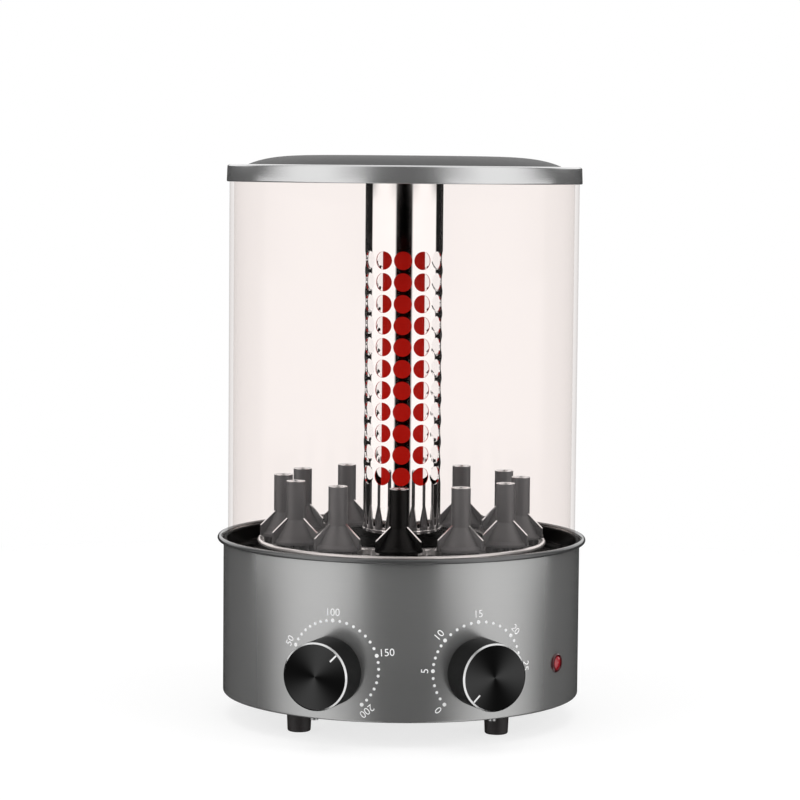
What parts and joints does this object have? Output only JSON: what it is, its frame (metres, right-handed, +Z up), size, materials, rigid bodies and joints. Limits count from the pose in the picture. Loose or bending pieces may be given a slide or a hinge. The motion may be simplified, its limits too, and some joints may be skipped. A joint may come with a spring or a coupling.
{
  "type": "electric skewer grill",
  "caption": "Round tabletop skewer grill: steel base with two dial knobs, turntable of spinning skewer cups, perforated heater column, glass cylinder and lid.",
  "frame": {"origin": "on the centre axis, in the plane that the feet rest on", "axes": "+Z up along the centre axis, the knobs face -Y, +X to the right as the user faces the knobs"},
  "size_m": [0.244, 0.2646, 0.371],
  "materials": {
    "gunmetal_steel": "brushed, dark",
    "zinc_steel": "zinc plated",
    "rubber": "matt",
    "black_enamel": "gloss enamel",
    "chrome": "mirror",
    "polished_steel": "polished",
    "nylon": "moulded",
    "heater_glow": "glowing quartz",
    "heater_rod": "hot",
    "ceramic_white": "matt",
    "phenolic": "moulded",
    "lamp_red": "clear red",
    "black_plastic": "satin",
    "gear_plastic": "acetal",
    "cup_metal": "satin grey",
    "knob_black": "satin",
    "knob_face": "spun, black",
    "pointer_white": "satin",
    "clear_glass": "clear",
    "lid_silver": "brushed",
    "lid_grey": "satin dark grey",
    "silicone": "matt"
  },
  "bodies": {
    "base": {"housing_shell": "gunmetal_steel", "bottom_plate": "zinc_steel", "deck_plate": "zinc_steel", "deck_posts": "zinc_steel", "case_screws": "zinc_steel", "feet": "rubber", "foot_screws": "zinc_steel", "drip_pan": "black_enamel", "column_flange": "zinc_steel", "column_sleeve": "chrome", "column_ferrule": "chrome", "column_base_ring": "black_enamel", "column_cap": "polished_steel", "sun_gear": "polished_steel", "thrust_washer": "nylon", "heater_tube": "heater_glow", "heater_core": "heater_rod", "heater_end_lower": "ceramic_white", "heater_end_upper": "ceramic_white", "thermostat_body": "phenolic", "timer_body": "zinc_steel", "timer_bell": "polished_steel", "panel_nuts": "zinc_steel", "lamp_lens": "lamp_red", "lamp_holder": "nylon", "motor_case": "zinc_steel", "terminal_block": "nylon", "cord_gland": "black_plastic"},
    "turntable": {"turntable_plate": "polished_steel", "turntable_hub": "polished_steel", "drive_gear": "gear_plastic", "cup_pins": "polished_steel", "hub_rivets": "polished_steel"},
    "motor_pinion_body": {"motor_pinion": "gear_plastic"},
    "thermostat": {"thermostat_knob": "knob_black", "thermostat_cap": "knob_face", "thermostat_pointer": "pointer_white", "thermostat_spindle": "zinc_steel"},
    "timer": {"timer_knob": "knob_black", "timer_cap": "knob_face", "timer_pointer": "pointer_white", "timer_spindle": "zinc_steel"},
    "glass": {"glass_cylinder": "clear_glass"},
    "lid": {"lid_rim": "lid_silver", "lid_dome": "lid_grey", "lid_gasket": "silicone"},
    "cup_01_body": {"cup_01": "cup_metal"},
    "cup_02_body": {"cup_02": "cup_metal"},
    "cup_03_body": {"cup_03": "cup_metal"},
    "cup_04_body": {"cup_04": "cup_metal"},
    "cup_05_body": {"cup_05": "cup_metal"},
    "cup_06_body": {"cup_06": "cup_metal"},
    "cup_07_body": {"cup_07": "cup_metal"},
    "cup_08_body": {"cup_08": "cup_metal"},
    "cup_09_body": {"cup_09": "cup_metal"},
    "cup_10_body": {"cup_10": "cup_metal"},
    "cup_11_body": {"cup_11": "cup_metal"},
    "cup_12_body": {"cup_12": "cup_metal"}
  },
  "joints": [
    {"name": "turntable_turn", "type": "hinge", "parent": "base", "child": "turntable", "pos_m": [0, 0, 0.1], "axis": [0, 0, 1], "continuous": true},
    {"name": "cup_01_spin", "type": "hinge", "parent": "turntable", "child": "cup_01_body", "pos_m": [-0.00343, -0.07863, 0.12], "axis": [0, 0, 1], "continuous": true},
    {"name": "cup_02_spin", "type": "hinge", "parent": "turntable", "child": "cup_02_body", "pos_m": [0.03634, -0.06981, 0.12], "axis": [0, 0, 1], "continuous": true},
    {"name": "cup_03_spin", "type": "hinge", "parent": "turntable", "child": "cup_03_body", "pos_m": [0.06638, -0.04229, 0.12], "axis": [0, 0, 1], "continuous": true},
    {"name": "cup_04_spin", "type": "hinge", "parent": "turntable", "child": "cup_04_body", "pos_m": [0.07863, -0.00343, 0.12], "axis": [0, 0, 1], "continuous": true},
    {"name": "cup_05_spin", "type": "hinge", "parent": "turntable", "child": "cup_05_body", "pos_m": [0.06981, 0.03634, 0.12], "axis": [0, 0, 1], "continuous": true},
    {"name": "cup_06_spin", "type": "hinge", "parent": "turntable", "child": "cup_06_body", "pos_m": [0.04229, 0.06638, 0.12], "axis": [0, 0, 1], "continuous": true},
    {"name": "cup_07_spin", "type": "hinge", "parent": "turntable", "child": "cup_07_body", "pos_m": [0.00343, 0.07863, 0.12], "axis": [0, 0, 1], "continuous": true},
    {"name": "cup_08_spin", "type": "hinge", "parent": "turntable", "child": "cup_08_body", "pos_m": [-0.03634, 0.06981, 0.12], "axis": [0, 0, 1], "continuous": true},
    {"name": "cup_09_spin", "type": "hinge", "parent": "turntable", "child": "cup_09_body", "pos_m": [-0.06638, 0.04229, 0.12], "axis": [0, 0, 1], "continuous": true},
    {"name": "cup_10_spin", "type": "hinge", "parent": "turntable", "child": "cup_10_body", "pos_m": [-0.07863, 0.00343, 0.12], "axis": [0, 0, 1], "continuous": true},
    {"name": "cup_11_spin", "type": "hinge", "parent": "turntable", "child": "cup_11_body", "pos_m": [-0.06981, -0.03634, 0.12], "axis": [0, 0, 1], "continuous": true},
    {"name": "cup_12_spin", "type": "hinge", "parent": "turntable", "child": "cup_12_body", "pos_m": [-0.04229, -0.06638, 0.12], "axis": [0, 0, 1], "continuous": true},
    {"name": "motor_spin", "type": "hinge", "parent": "base", "child": "motor_pinion_body", "pos_m": [0, 0.0588, 0.09], "axis": [0, 0, 1], "continuous": true},
    {"name": "thermostat_turn", "type": "hinge", "parent": "base", "child": "thermostat", "pos_m": [-0.04554, -0.10886, 0.048], "axis": [0.3859, 0.9225, 0], "range_deg": [-177, 99]},
    {"name": "timer_turn", "type": "hinge", "parent": "base", "child": "timer", "pos_m": [0.04554, -0.10886, 0.048], "axis": [-0.3859, 0.9225, 0], "range_deg": [0, 270]},
    {"name": "glass_lift", "type": "slide", "parent": "base", "child": "glass", "axis": [0, 0, 1], "range_m": [0, 0.27]},
    {"name": "lid_lift", "type": "slide", "parent": "glass", "child": "lid", "axis": [0, 0, 1], "range_m": [0, 0.08]}
  ],
  "couplings": [
    {"joint": "cup_01_spin", "follows": "turntable_turn", "ratio": 6},
    {"joint": "cup_02_spin", "follows": "turntable_turn", "ratio": 6},
    {"joint": "cup_03_spin", "follows": "turntable_turn", "ratio": 6},
    {"joint": "cup_04_spin", "follows": "turntable_turn", "ratio": 6},
    {"joint": "cup_05_spin", "follows": "turntable_turn", "ratio": 6},
    {"joint": "cup_06_spin", "follows": "turntable_turn", "ratio": 6},
    {"joint": "cup_07_spin", "follows": "turntable_turn", "ratio": 6},
    {"joint": "cup_08_spin", "follows": "turntable_turn", "ratio": 6},
    {"joint": "cup_09_spin", "follows": "turntable_turn", "ratio": 6},
    {"joint": "cup_10_spin", "follows": "turntable_turn", "ratio": 6},
    {"joint": "cup_11_spin", "follows": "turntable_turn", "ratio": 6},
    {"joint": "cup_12_spin", "follows": "turntable_turn", "ratio": 6},
    {"joint": "motor_spin", "follows": "turntable_turn", "ratio": -6}
  ]
}
